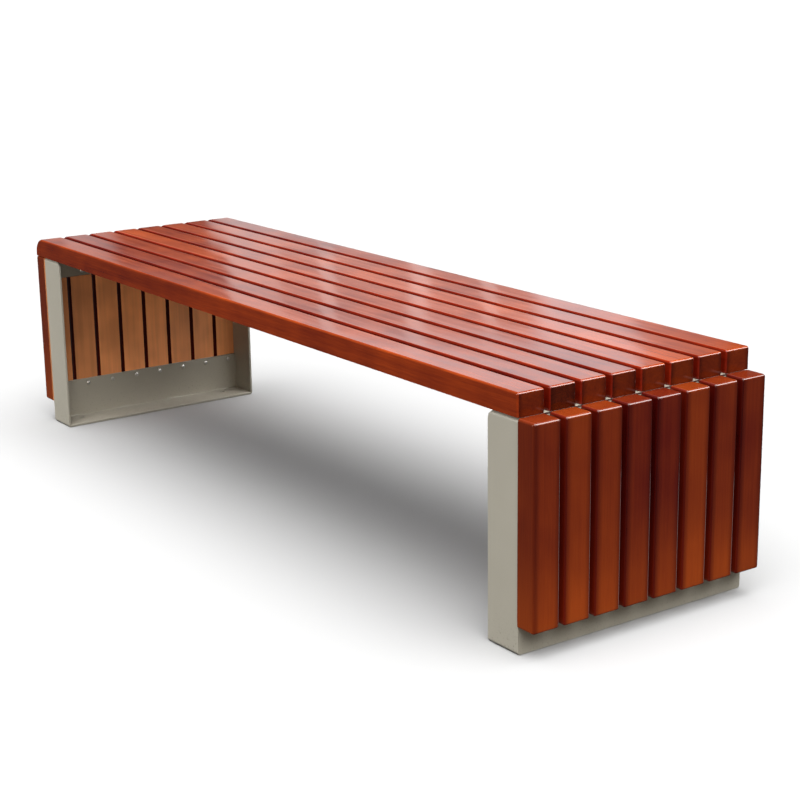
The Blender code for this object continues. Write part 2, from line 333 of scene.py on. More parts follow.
# How far the rings, fibre, streaks and mottling each move the stain between maroon and orange
TONE_WEIGHTS = {0: (0.12, 0.14, 0.62, 0.85), 2: (0.06, 0.04, 0.16, 0.50)}
FIBRE_LEVELS = {0: (0.86, 1.05), 2: (0.96, 1.05)}


def grain_patterns(tree, spot, middle, along, seed):
    """One slat's rings, fibre, streaks and mottling, and the coordinates stretched along it."""
    # The pith lies outside the slat, so the rings match on its faces and its ends.
    pith = Vector((0.03 + 0.02 * math.sin(seed * 1.7), 0.045 * math.cos(seed * 2.3), 0.0))
    if along == 0:
        pith = Vector((0.0, pith.y, -0.03 - abs(pith.x)))
    centred = add_node(
        tree,
        "ShaderNodeMapping",
        {"Vector": spot, "Location": -middle - pith},
        vector_type="POINT",
    ).outputs[0]
    scale = [1.0, 1.0, 1.0]
    scale[along] = GRAIN_STRETCH
    drift = Vector([seed * share for share in GRAIN_SHIFT])
    stretched = add_node(
        tree, "ShaderNodeMapping", {"Vector": spot, "Location": drift, "Scale": scale}
    ).outputs[0]
    wander = add_node(
        tree, "ShaderNodeTexNoise", {"Vector": stretched, "Scale": 26.0, "Detail": 2.0}
    ).outputs[1]
    wander = vector_calc(tree, "SUBTRACT", wander, (0.5, 0.5, 0.5))
    wander = vector_calc(tree, "SCALE", wander, RING_WANDER)
    rings = add_node(
        tree,
        "ShaderNodeTexWave",
        {
            "Vector": vector_calc(tree, "ADD", centred, wander),
            "Scale": 46.0,
            "Distortion": 1.2,
            "Detail": 2.0,
        },
        wave_type="RINGS",
        rings_direction=AXIS_NAMES[along],
        wave_profile="SAW",
    ).outputs[1]
    fibre = noise_value(tree, stretched, 520.0, 3.0, 0.6)
    streak = noise_value(tree, stretched, 95.0)
    mottle = noise_value(tree, spot, 9.0)
    return (rings, fibre, streak, mottle), stretched


def stain_tone(tree, reach, box, along, tones, patterns):
    """How orange the stain is, drifting from one end of the slat to the other."""
    low, high = box
    tone = remap(tree, reach, low[along], high[along], *tones)
    for pattern, weight in zip(patterns, TONE_WEIGHTS[along]):
        offset = calc(tree, "MULTIPLY_ADD", pattern, weight, -weight / 2)
        tone = calc(tree, "ADD", tone, offset)
    if along == 2:
        # An upright slat grows more orange towards its foot.
        footward = remap(tree, reach, low.z, (low.z + high.z) / 2, FOOT_ORANGE, 0.0)
        tone = calc(tree, "ADD", tone, footward)
    return calc(tree, "ADD", tone, 0.0, clamp=True)


def timber_material(name, box, along, tones, seed, outer_y, cut_level, raw_side=0):
    """Red-brown varnish over one slat's own grain.

    along is the grain's axis, 0 or 2. tones says how orange the slat is at its low and its high
    end. outer_y is the sign of the Y face that is outside the bench, or 0, and raw_side the sign
    of the X face that is left bare, or 0. cut_level is the brightness of a seat slat's sawn ends,
    or of an upright slat's bare face.
    """
    low, high = box
    middle = (low + high) / 2
    half = (high - low) / 2
    material, tree, shader = new_material(name)
    place = add_node(tree, "ShaderNodeTexCoord")
    spot = place.outputs["Object"]
    patterns, stretched = grain_patterns(tree, spot, middle, along, seed)
    _, fibre, streak, mottle = patterns
    parts = add_node(tree, "ShaderNodeSeparateXYZ", {0: spot})
    facing = add_node(tree, "ShaderNodeSeparateXYZ", {0: place.outputs["Normal"]})
    tone = stain_tone(tree, parts.outputs[along], box, along, tones, patterns)
    colour = blend_colour(tree, tone, MAROON, ORANGE)
    depth = remap(tree, fibre, 0.30, 0.62, *FIBRE_LEVELS[along])
    colour = multiply_colours(tree, colour, depth)

    # Painted shade: faces that don't look up are darkened, the more the further they turn
    # sideways. A seat slat's sawn ends also took more stain.
    sideways = calc(tree, "SUBTRACT", 1.0, calc(tree, "ABSOLUTE", facing.outputs[2]))
    if along == 0:
        colour = multiply_colours(tree, colour, SEAT_STAIN)
    side_shade = SIDE_SHADE if along == 0 else END_SIDE_SHADE
    colour = blend_colour(tree, sideways, colour, side_shade, "MULTIPLY")
    end_grain = remap(tree, calc(tree, "ABSOLUTE", facing.outputs[along]), 0.80, 0.98)
    if along == 0:
        pores = noise_value(tree, spot, 900.0)
        dark = remap(tree, pores, 0.35, 0.65, 0.44 * cut_level, 0.60 * cut_level)
        colour = blend_colour(tree, end_grain, colour, multiply_colours(tree, colour, dark))

    # Stain gathers along the edges of a face across the slat. Faces that look into the gaps
    # between slats get painted shade.
    across = calc(tree, "SUBTRACT", parts.outputs[1], middle.y)
    across = calc(tree, "ABSOLUTE", calc(tree, "DIVIDE", across, half.y))
    crosswise = end_grain if along == 0 else calc(tree, "ABSOLUTE", facing.outputs[0])
    rim = remap(tree, calc(tree, "MULTIPLY_ADD", mottle, 0.16, across), 0.54, 1.06)
    rim = calc(tree, "MULTIPLY", rim, crosswise)
    colour = blend_colour(tree, rim, colour, RIM_STAIN, "MULTIPLY")
    # Painted shade on the faces that look into a gap.
    if outer_y:
        inwards = calc(tree, "MULTIPLY", facing.outputs[1], -float(outer_y))
    else:
        inwards = calc(tree, "ABSOLUTE", facing.outputs[1])
    colour = blend_colour(tree, remap(tree, inwards, 0.15, 0.60), colour, GAP_SHADE, "MULTIPLY")
    gloss = remap(tree, streak, 0.3, 0.7, 0.06, 0.12)
    if raw_side:
        bare = remap(tree, calc(tree, "MULTIPLY", facing.outputs[0], float(raw_side)), 0.80, 0.98)
        broad = remap(tree, mottle, 0.3, 0.7, 0.80 * cut_level, 1.08 * cut_level)
        fine = remap(tree, streak, 0.30, 0.70, 0.88, 1.06)
        colour = blend_colour(tree, bare, colour, multiply_colours(tree, RAW_WOOD, broad, fine))
        gloss = calc(tree, "MULTIPLY_ADD", bare, 0.45, gloss)
    tree.links.new(colour, shader.inputs["Base Color"])
    tree.links.new(gloss, shader.inputs["Roughness"])
    shader.inputs["IOR"].default_value = VARNISH_IOR

    # The varnish sinks a little into the pores and lies in slow waves.
    waves = noise_value(tree, stretched, 30.0, 1.0)
    add_bump(tree, shader, calc(tree, "MULTIPLY_ADD", fibre, 0.10, waves), 0.20, 0.0003)
    return material


def paint_material():
    """Satin greige powder coat with a fine orange-peel skin, dark specks low down that are dust
    and painted shade, and a painted shadow line where the frames meet the slats.
    """
    material, tree, shader = new_material("greige_powder_coat")
    place = add_node(tree, "ShaderNodeTexCoord")
    spot = place.outputs["Object"]
    cloud = noise_value(tree, spot, 7.0, 3.0)
    colour = blend_colour(tree, cloud, *GREIGE)
    parts = add_node(tree, "ShaderNodeSeparateXYZ", {0: spot})
    # Dark specks low down: dust, and painted shade near the floor.
    low_down = remap(tree, parts.outputs[2], 0.0, DUST_AND_SHADE_TOP, DUST_AND_SHADE_SHARE, 0.0)
    specks = remap(tree, noise_value(tree, spot, 260.0, 3.0, 0.65), 0.56, 0.74)
    colour = blend_colour(tree, calc(tree, "MULTIPLY", low_down, specks), colour, LOW_DUST_AND_SHADE)
    # Painted shadow: a dark line where the frame's outer top edge meets the slats.
    frame_corner = FRAME_BOX[1]
    out = calc(tree, "ABSOLUTE", parts.outputs[0])
    outer_edge = remap(tree, out, frame_corner.x - 0.0013, frame_corner.x - 0.0009)
    top_edge = remap(tree, parts.outputs[2], frame_corner.z - 0.0040, frame_corner.z - 0.0025)
    joint = calc(tree, "MULTIPLY", outer_edge, top_edge)
    colour = blend_colour(tree, joint, colour, JOINT_SHADE)
    tree.links.new(colour, shader.inputs["Base Color"])
    gloss = remap(tree, noise_value(tree, spot, 40.0, 3.0), 0.3, 0.7, 0.40, 0.52)
    tree.links.new(gloss, shader.inputs["Roughness"])
    add_bump(tree, shader, noise_value(tree, spot, 650.0), 0.25, 0.0002)
    return material


def zinc_material():
    """Pale zinc plate, dulled in patches."""
    material, tree, shader = new_material("zinc_plate")
    spot = add_node(tree, "ShaderNodeTexCoord").outputs["Object"]
    dull = noise_value(tree, spot, 420.0, 3.0)
    tree.links.new(blend_colour(tree, dull, *ZINC_GREYS), shader.inputs["Base Color"])
    tree.links.new(remap(tree, dull, 0.3, 0.7, 0.48, 0.30), shader.inputs["Roughness"])
    shader.inputs["Metallic"].default_value = 1.0
    add_bump(tree, shader, dull, 0.2, 0.0001)
    return material


PAINT = paint_material()
ZINC = zinc_material()


# ---------------------------------------------------------------- timber slats


def round_off(bm, edges, radius):
    """Round some of a slat's edges."""
    bmesh.ops.bevel(
        bm, geom=edges, offset=radius, segments=EDGE_SEGMENTS, profile=0.5, affect="EDGES"
    )


def plank_mesh(name, box, along, seed, radius, flat, nose=False):
    """A planed slat: rounded edges, cross-sections all along it, faces that wander a little.

    flat is (axis, position) of the face that lies on the frame, whose edges stay almost sharp.
    """
    low, high = box
    outline = [Vector((low.x, low.y, low.z)), Vector((high.x, low.y, low.z))]
    outline.append(Vector((high.x, low.y, high.z)))
    if nose:
        centre = Vector((low.x + NOSE_RADIUS, low.y, high.z - NOSE_RADIUS))
        for step in range(NOSE_SEGMENTS + 1):
            angle = math.pi / 2 + step / NOSE_SEGMENTS * math.pi / 2
            offset = Vector((math.cos(angle), 0.0, math.sin(angle)))
            outline.append(centre + offset * NOSE_RADIUS)
    else:
        outline.append(Vector((low.x, low.y, high.z)))
    bm = bmesh.new()
    side = bm.faces.new([bm.verts.new(point) for point in outline])
    swept = bmesh.ops.extrude_face_region(bm, geom=[side])["geom"]
    moved = [item for item in swept if isinstance(item, bmesh.types.BMVert)]
    bmesh.ops.translate(bm, vec=(0.0, high.y - low.y, 0.0), verts=moved)
    bmesh.ops.recalc_face_normals(bm, faces=bm.faces)
    corners = [e for e in bm.edges if e.calc_face_angle() > math.radians(30)]
    axis, position = flat

    def lies_flat(edge):
        return all(abs(vertex.co[axis] - position) < 0.00001 for vertex in edge.verts)

    round_off(bm, [e for e in corners if not lies_flat(e)], radius)
    sharp = [e for e in bm.edges if e.calc_face_angle() > math.radians(60)]
    round_off(bm, [e for e in sharp if lies_flat(e)], ARRIS_RADIUS)
    span = high[along] - low[along]
    count = int(span / STATION)
    normal = Vector((0.0, 0.0, 0.0))
    normal[along] = 1.0
    for step in range(1, count):
        place = Vector(low)
        place[along] += step / count * span
        geometry = bm.verts[:] + bm.edges[:] + bm.faces[:]
        bmesh.ops.bisect_plane(bm, geom=geometry, plane_co=place, plane_no=normal)
    wander_inwards(bm, box, along, seed)
    return mesh_from(bm, name)


def wander_inwards(bm, box, along, seed):
    """Move each vertex a little towards the slat's axis, by smooth noise."""
    low, high = box
    middle = (low + high) / 2
    half = (high - low) / 2
    drift = Vector([seed * offset for offset in WANDER_OFFSETS])
    for vertex in bm.verts:
        spot = vertex.co * WANDER_ACROSS
        spot[along] = vertex.co[along] * WANDER_ALONG
        for axis in range(3):
            if axis == along:
                continue
            depth = PLANING_DEPTH * (0.5 + 0.5 * noise.noise(spot + drift * (axis + 1)))
            share = (vertex.co[axis] - middle[axis]) / half[axis]
            vertex.co[axis] -= share * depth


def screw_rows():
    """Heights of the two rows of screws in each end frame."""
    return LOWER_STRIP_TOP - SCREW_EDGE_INSET, UPPER_STRIP_BOTTOM + SCREW_EDGE_INSET


# Each slat's own looks, front to back. How orange its stain is: a seat slat's drifts from its left
# to its right end.
SEAT_TONES = (
    (0.46, 0.56),
    (0.26, 0.46),
    (0.48, 0.50),
    (0.74, 0.38),
    (0.44, 0.66),
    (0.50, 0.82),
    (0.42, 0.58),
    (0.26, 0.62),
)
END_TONES = {
    "right": (0.26, 0.42, 0.30, 0.08, 0.07, 0.42, 0.25, 0.14),
    "left": (0.30, 0.12, 0.38, 0.20, 0.42, 0.10, 0.34, 0.22),
}
END_SEEDS = {"left": 10, "right": 30}
# How bright a seat slat's sawn ends and an upright slat's bare face are
SAWN_LEVELS = (0.90, 0.48, 0.84, 0.76, 0.80, 0.64, 0.80, 0.88)
RAW_LEVELS = (0.80, 0.76, 1.05, 1.20, 1.18, 1.02, 1.00, 0.96)


def outer_side(number):
    """Which Y side of a slat faces outwards: the front one's -Y, the back one's +Y."""
    return {1: -1, SLAT_COUNT: 1}.get(number, 0)


def build_seat():
    """Eight long slats, with pilot holes for the screws that come up from below."""
    for number in range(1, SLAT_COUNT + 1):
        name = f"seat_slat_{number}"
        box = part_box(name)
        bottom = box[0].z
        y = middle_of(name, 1)
        mesh = plank_mesh(f"{name}_timber", box, 0, number, SEAT_EDGE_RADIUS, (2, bottom), True)
        spots = [(x, y, bottom) for x in seat_screw_places()]
        mesh = cut_holes(mesh, spots, (0, 0, 1), PILOT_RADIUS, 2 * PILOT_DEPTH, PILOT_SIDES)
        tones = SEAT_TONES[number - 1]
        sawn = SAWN_LEVELS[number - 1]
        material = timber_material(
            f"{name}_varnish", box, 0, tones, number, outer_side(number), sawn
        )
        add_piece(f"{name}_timber", mesh, material, name)


def build_end_slats(side):
    """Eight upright slats on one end frame, bare where they face the frame."""
    sign = SIDES[side]
    for number in range(1, SLAT_COUNT + 1):
        name = f"{side}_end_slat_{number}"
        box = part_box(name)
        y = middle_of(name, 1)
        seed = number + END_SEEDS[side]
        inner = box[0].x if sign > 0 else box[1].x
        mesh = plank_mesh(f"{name}_timber", box, 2, seed, END_EDGE_RADIUS, (0, inner))
        spots = [(inner, y, z) for z in screw_rows()]
        mesh = cut_holes(mesh, spots, (1, 0, 0), PILOT_RADIUS, 2 * PILOT_DEPTH, PILOT_SIDES)
        tone = END_TONES[side][number - 1]
        bare = RAW_LEVELS[number - 1]
        material = timber_material(
            f"{name}_varnish", box, 2, (tone, tone), seed, outer_side(number), bare, -sign
        )
        add_piece(f"{name}_timber", mesh, material, name)


# ---------------------------------------------------------------- steel plates


def arc(centre, radius, start, end, segments):
    """Points of an arc in the plane, angles in degrees."""
    points = []
    for step in range(segments + 1):
        angle = math.radians(start + (end - start) * step / segments)
        points.append((centre[0] + radius * math.cos(angle), centre[1] + radius * math.sin(angle)))
    return points


def rounded_rectangle(u_low, u_high, v_low, v_high, low_radius, high_radius):
    """The outline of a rectangle; the radii are those of its two low and its two high corners."""
    points = []
    for u, v, radius, start in (
        (u_high - low_radius, v_low + low_radius, low_radius, -90),
        (u_high - high_radius, v_high - high_radius, high_radius, 0),
        (u_low + high_radius, v_high - high_radius, high_radius, 90),
        (u_low + low_radius, v_low + low_radius, low_radius, 180),
    ):
        points += arc((u, v), radius, start, start + 90, 6) if radius else [(u, v)]
    return points


# How a flat outline's own (u, v, depth) axes lie in the bench, by the way it faces
FACING = {
    "X": Matrix(((0, 0, 1, 0), (1, 0, 0, 0), (0, 1, 0, 0), (0, 0, 0, 1))),
    "Z": Matrix.Identity(4),
}


def plate_mesh(name, outline, holes, thickness, facing, middle, edge=PLATE_EDGE):
    """A flat plate with its edges eased by paint and real holes through it.

    Outline and holes are in (y, z) for a plate that faces X, and (x, y) for one that faces Z.
    Each hole is (u, v, radius).
    """
    curve = bpy.data.curves.new(name, "CURVE")
    curve.dimensions = "2D"
    curve.fill_mode = "BOTH"
    curve.extrude = thickness / 2 - edge
    curve.bevel_depth = edge
    curve.bevel_resolution = 2
    curve.offset = -edge
    last_turn = 360 * (HOLE_SIDES - 1) / HOLE_SIDES
    loops = [outline]
    loops += [arc((u, v), radius, 0, last_turn, HOLE_SIDES - 1) for u, v, radius in holes]
    for loop in loops:
        spline = curve.splines.new("POLY")
        spline.points.add(len(loop) - 1)
        for point, (u, v) in zip(spline.points, loop):
            point.co = (u, v, 0.0, 1.0)
        spline.use_cyclic_u = True
    shape = bpy.data.objects.new(name, curve)
    SCENE.collection.objects.link(shape)
    depsgraph = bpy.context.evaluated_depsgraph_get()
    mesh = bpy.data.meshes.new_from_object(shape.evaluated_get(depsgraph))
    bpy.data.objects.remove(shape)
    mesh.transform(Matrix.Translation(middle) @ FACING[facing])
    bm = bmesh.new()
    bm.from_mesh(mesh)
    bmesh.ops.remove_doubles(bm, verts=bm.verts, dist=0.00002)
    return mesh_from(bm, name)


def hoop_path(half, top):
    """The hoop's outer surface in (y, z): half the foot, the front, the top and the back."""
    radius = FOOT_FOLD_RADIUS
    foot = arc((-half + radius, radius), radius, 270, 180, FOOT_FOLD_SEGMENTS)
    corner = top - CORNER_RADIUS
    front = [(-half, z) for z in (LOWER_STRIP_TOP, top / 2, UPPER_STRIP_BOTTOM, corner)]
    for step in range(1, CORNER_STEPS):
        front.append((-half, corner + (CORNER_RADIUS - FOLD_RADIUS) * step / CORNER_STEPS))
    fold = arc((-half + FOLD_RADIUS, top - FOLD_RADIUS), FOLD_RADIUS, 180, 90, FOLD_SEGMENTS)
    first = foot + front + fold
    return first + [(-y, z) for y, z in reversed(first)]


def hoop_mesh(name, side):
    """Front, top, back and foot, folded from one plate with its inner top corners rounded."""
    sign = SIDES[side]
    low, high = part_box(f"{side}_end_frame")
    outer, inner = (high.x, low.x) if sign > 0 else (low.x, high.x)
    top = high.z
    bm = bmesh.new()
    rows = []
    for y, z in hoop_path(high.y, top):
        rise = max(0.0, z - (top - CORNER_RADIUS)) / CORNER_RADIUS
        inset = CORNER_RADIUS * (1.0 - math.sqrt(max(0.0, 1.0 - rise * rise)))
        x = inner + sign * inset
        rows.append((bm.verts.new((x, y, z)), bm.verts.new((outer, y, z))))
    for (a, b), (c, d) in zip(rows, rows[1:] + rows[:1]):
        bm.faces.new((a, b, d, c) if sign > 0 else (a, c, d, b))
    mesh = bpy.data.meshes.new(name)
    bm.to_mesh(mesh)
    bm.free()

    def thicken(shell):
        solid = shell.modifiers.new("plate", "SOLIDIFY")
        solid.thickness = PLATE
        solid.offset = -1.0
        solid.use_even_offset = True

    return applied(mesh, thicken)


def welded(mesh, other):
    """Two plates made one."""
    joining = bpy.data.objects.new("joining_plate", other)
    SCENE.collection.objects.link(joining)

    def join(shell):
        modifier = shell.modifiers.new("weld", "BOOLEAN")
        modifier.operation = "UNION"
        modifier.object = joining

    done = applied(mesh, join)
    bpy.data.objects.remove(joining)
    return done


def ease(shell):
    """Paint rounds every sharp plate edge."""
    bevel = shell.modifiers.new("paint_edge", "BEVEL")
    bevel.width = PLATE_EDGE
    bevel.segments = 3
    bevel.limit_method = "ANGLE"
    bevel.angle_limit = math.radians(50)
    bevel.use_clamp_overlap = False


def slat_middles():
    """The seat slats' centre lines, front to back."""
    return [middle_of(f"seat_slat_{number}", 1) for number in range(1, SLAT_COUNT + 1)]


def top_screw_x():
    """How far out the screws through the top plates are."""
    low, high = FRAME_BOX
    return (low.x + CORNER_RADIUS + high.x) / 2


def seat_screw_places():
    """Where along a seat slat its four screws come up."""
    straps = [middle_of(f"seat_strap_{side}", 0) for side in SIDES]
    return [-top_screw_x(), *straps, top_screw_x()]


def weld_bead(bm, start, end, first_wall, second_wall, phase):
    """A rippled fillet weld along an inside corner between two walls, given by their normals."""
    run = end - start
    count = max(8, int(run.length / WELD_STEP))
    rings = []
    for step in range(count + 1):
        share = step / count
        taper = min(1.0, WELD_TAPER * share, WELD_TAPER * (1.0 - share)) ** 0.5
        ripple = 1.0 - WELD_RIPPLE + WELD_RIPPLE * math.cos(step * WELD_RIPPLE_TURN + phase)
        leg = WELD_LEG * max(0.25, taper) * ripple
        base = start + run * share
        ring = [bm.verts.new(base - (first_wall + second_wall) * WELD_SINK)]
        for part in range(5):
            angle = part / 4 * math.pi / 2
            reach = first_wall * math.cos(angle) ** WELD_BULGE
            reach += second_wall * math.sin(angle) ** WELD_BULGE
            ring.append(bm.verts.new(base + reach * leg))
        rings.append(ring)
    for ring, after in zip(rings, rings[1:]):
        for i in range(len(ring)):
            j = (i + 1) % len(ring)
            bm.faces.new((ring[i], ring[j], after[j], after[i]))
    bm.faces.new(rings[0])
    bm.faces.new(rings[-1])


def build_welds(side):
    """Weld beads in the inside corners of one end frame, painted over with the rest."""
    sign = SIDES[side]
    low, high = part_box(f"{side}_end_frame")
    outer = high.x if sign > 0 else low.x
    wall_x = outer - sign * PLATE
    wall_y = high.y - PLATE
    under_top = high.z - PLATE
    inwards = Vector((-sign, 0.0, 0.0))
    bm = bmesh.new()
    for number in range(STITCHES):
        y = (number - (STITCHES - 1) / 2) * STITCH_SPACING
        for z, wall, phase in ((PLATE, (0, 0, 1), number), (under_top, (0, 0, -1), number + 2)):
            ends = [Vector((wall_x, y + dy, z)) for dy in (-STITCH_REACH, STITCH_REACH)]
            weld_bead(bm, *ends, inwards, Vector(wall), phase)
    for front in (-1, 1):
        away = Vector((0.0, -front, 0.0))
        y = front * wall_y
        lower = [Vector((wall_x, y, PLATE + 0.001)), Vector((wall_x, y, LOWER_STRIP_TOP - 0.003))]
        weld_bead(bm, *lower, inwards, away, front + 1)
        upper = [
            Vector((wall_x, y, UPPER_STRIP_BOTTOM + 0.003)),
            Vector((wall_x, y, under_top - FOLD_RADIUS + PLATE)),
        ]
        weld_bead(bm, *upper, inwards, away, front + 2)
    mesh = mesh_from(bm, f"{side}_frame_welds")
    add_piece(f"{side}_frame_welds", mesh, PAINT)


def build_frame(side):
    """One end frame: the folded hoop with its two cross strips welded flush and ground."""
    sign = SIDES[side]
    low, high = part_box(f"{side}_end_frame")
    outer = high.x if sign > 0 else low.x
    name = f"{side}_frame_steel"
    mesh = hoop_mesh(name, side)
    reach = high.y - PLATE / 2
    lower_row, upper_row = screw_rows()
    # The strips end in the middle of the hoop's plate, all the way round its folds.
    for bottom, top, row, low_radius, high_radius in (
        (PLATE / 2, LOWER_STRIP_TOP, lower_row, FOOT_FOLD_RADIUS - PLATE / 2, 0.0),
        (UPPER_STRIP_BOTTOM, high.z - PLATE / 2, upper_row, 0.0, FOLD_RADIUS - PLATE / 2),
    ):
        outline = rounded_rectangle(-reach, reach, bottom, top, low_radius, high_radius)
        holes = [(y, row, HOLE_RADIUS) for y in slat_middles()]
        middle = (outer - sign * PLATE / 2, 0, 0)
        strip = plate_mesh("cross_strip", outline, holes, PLATE, "X", middle, 0.0)
        mesh = welded(mesh, strip)
    spots = [(sign * top_screw_x(), y, high.z - PLATE / 2) for y in slat_middles()]
    mesh = cut_holes(mesh, spots, (0, 0, 1), HOLE_RADIUS, 2 * PLATE)
    anchor_x = outer - sign * ANCHOR_INSET
    anchors = [(anchor_x, y, PLATE / 2) for y in (-ANCHOR_OFFSET, ANCHOR_OFFSET)]
    mesh = cut_holes(mesh, anchors, (0, 0, 1), ANCHOR_HOLE_RADIUS, 2 * PLATE, ANCHOR_SIDES)
    mesh = applied(mesh, ease)
    mesh.name = name
    add_piece(name, mesh, PAINT, f"{side}_end_frame")
    build_welds(side)


def build_strap(side):
    """A flat bar under the seat, with a hole under every slat."""
    name = f"seat_strap_{side}"
    low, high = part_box(name)
    radius = STRAP_CORNER_RADIUS
    outline = rounded_rectangle(low.x, high.x, low.y, high.y, radius, radius)
    holes = [(middle_of(name, 0), y, HOLE_RADIUS) for y in slat_middles()]
    thickness = high.z - low.z
    mesh = plate_mesh(f"{name}_bar", outline, holes, thickness, "Z", (0, 0, low.z + thickness / 2))
    add_piece(f"{name}_bar", mesh, PAINT, name)


# ---------------------------------------------------------------- screws


def turned_mesh(name, profile, sides):
    """A solid turned about Z from (radius, z, threaded) rows; threaded ones carry a helix."""
    bm = bmesh.new()
    rows = []
    for radius, z, threaded in profile:
        if radius == 0.0:
            rows.append([bm.verts.new((0.0, 0.0, z))])
            continue
        row = []
        for i in range(sides):
            turn = i / sides
            r = radius
            if threaded:
                phase = (z / THREAD_PITCH + turn) % 1.0
                r += THREAD_DEPTH * (1.0 - abs(2.0 * phase - 1.0)) - THREAD_DEPTH
            angle = turn * math.tau
            row.append(bm.verts.new((r * math.cos(angle), r * math.sin(angle), z)))
        rows.append(row)
    for row, after in zip(rows, rows[1:]):
        for i in range(sides):
            j = (i + 1) % sides
            if len(row) == 1:
                corners = [row[0], after[j], after[i]]
            elif len(after) == 1:
                corners = [row[i], row[j], after[0]]
            else:
                corners = [row[i], row[j], after[j], after[i]]
            bm.faces.new(corners)
    return mesh_from(bm, name)


def screw_mesh():
    """A pan-head screw with a cross recess. Its head sits on z = 0 and its tip points down."""
    rim = HEAD_HEIGHT * 0.42
    profile = [(0.0, HEAD_HEIGHT, False)]
    for step in range(1, DOME_STEPS + 1):
        angle = step / DOME_STEPS * math.pi / 2
        r = HEAD_RADIUS * math.sin(angle)
        z = rim + (HEAD_HEIGHT - rim) * math.cos(angle)
        profile.append((r, z, False))
    profile += [
        (HEAD_RADIUS, 0.0003, False),
        (HEAD_RADIUS - 0.0003, 0.0, False),
        (SHANK_RADIUS + 0.0001, 0.0, False),
        (SHANK_RADIUS, -NECK, False),
    ]
    row = THREAD_PITCH / 4
    z = -NECK - row
    while z > TIP_LENGTH - SCREW_LENGTH:
        profile.append((SHANK_RADIUS, z, True))
        z -= row
    profile.append((SHANK_RADIUS * 0.55, -SCREW_LENGTH + TIP_LENGTH * 0.45, False))
    profile.append((0.0, -SCREW_LENGTH, False))
    solid = turned_mesh("pan_head_screw", profile, SCREW_SIDES)
    bm = bmesh.new()
    for turn in (0.0, math.pi / 2):
        made = bmesh.ops.create_cube(bm, size=1.0)
        for vertex in made["verts"]:
            upper = vertex.co.z > 0
            length, width = RECESS_TOP if upper else RECESS_BOTTOM
            vertex.co.x = math.copysign(length, vertex.co.x)
            vertex.co.y = math.copysign(width, vertex.co.y)
            vertex.co.z = HEAD_HEIGHT + (0.0004 if upper else -RECESS_DEPTH)
        spin = Matrix.Rotation(turn + RECESS_TURN, 3, "Z")
        bmesh.ops.rotate(bm, cent=(0, 0, 0), matrix=spin, verts=made["verts"])
    cutter = bpy.data.objects.new("cross_cutter", mesh_from(bm, "cross_cutter"))
    SCENE.collection.objects.link(cutter)

    def punch(shell):
        modifier = shell.modifiers.new("recess", "BOOLEAN")
        modifier.operation = "DIFFERENCE"
        modifier.object = cutter
        modifier.use_self = True

    done = applied(solid, punch)
    bpy.data.objects.remove(cutter)
    return done


def place_screw(name, template, seat, direction, stands_for=None):
    """A screw with its head's underside at seat, driven in the given direction."""
    mesh = template.copy()
    turn = Vector((0, 0, -1)).rotation_difference(Vector(direction)).to_matrix().to_4x4()
    spin = Matrix.Rotation(sum(seat) * SPIN_PER_METRE, 4, "Z")
    mesh.transform(Matrix.Translation(seat) @ turn @ spin)
    add_piece(name, mesh, ZINC, stands_for)


def build_screws():
    """Every screw: two rows in each end frame, and four under each seat slat."""
    template = screw_mesh()
    for side, sign in SIDES.items():
        for row in ("lower", "upper"):
            for number in range(1, SLAT_COUNT + 1):
                node = f"{side}_{row}_screw_{number}"
                head_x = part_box(node)[0 if sign > 0 else 1].x
                seat = (head_x + sign * HEAD_HEIGHT, middle_of(node, 1), middle_of(node, 2))
                place_screw(f"{node}_zinc", template, seat, (sign, 0, 0), node)
    plate_z = FRAME_BOX[1].z - PLATE
    strap_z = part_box("seat_strap_left")[0].z
    names = ("left_frame", "left_strap", "right_strap", "right_frame")
    heights = (plate_z, strap_z, strap_z, plate_z)
    for name, x, z in zip(names, seat_screw_places(), heights):
        for number, y in enumerate(slat_middles(), start=1):
            spot = (x, y, z - CLEARANCE)
            place_screw(f"seat_screw_{name}_{number}", template, spot, (0, 0, 1))


# ---------------------------------------------------------------- stage, light and camera


def build_camera():
    """The camera, aimed by its azimuth, elevation and roll."""
    azimuth, elevation, roll = map(
        math.radians, (CAMERA_AZIMUTH, CAMERA_ELEVATION, CAMERA_ROLL)
    )
    back = Vector(
        (
            math.sin(azimuth) * math.cos(elevation),
            -math.cos(azimuth) * math.cos(elevation),
            math.sin(elevation),
        )
    )
    across = Vector((math.cos(azimuth), math.sin(azimuth), 0.0))
    up = back.cross(across)
    right = across * math.cos(roll) + up * math.sin(roll)
    above = up * math.cos(roll) - across * math.sin(roll)
    data = bpy.data.cameras.new("camera")
    data.lens = CAMERA_LENS
    data.sensor_width = CAMERA_SENSOR
    data.clip_end = 200.0
    camera = bpy.data.objects.new("camera", data)
    turn = Matrix((right, above, back)).transposed().to_4x4()
    camera.matrix_world = Matrix.Translation(CAMERA_SPOT) @ turn
    SCENE.collection.objects.link(camera)
    SCENE.camera = camera


def camera_only(obj):
    """The stage is seen but neither lights the bench nor shows in its varnish."""
    obj.visible_diffuse = False
    obj.visible_glossy = False
    obj.visible_transmission = False
    obj.visible_shadow = False


FLOOR_RADIUS = 40.0
FLOOR_DROP = 0.0005  # keeps the floor clear of the frames' feet
FLOOR_GREY = rgb(0.448, 0.448, 0.448)
BACKDROP_RADIUS = 39.0
BLACK = rgb(0.0, 0.0, 0.0)
WHITE = rgb(1.0, 1.0, 1.0)


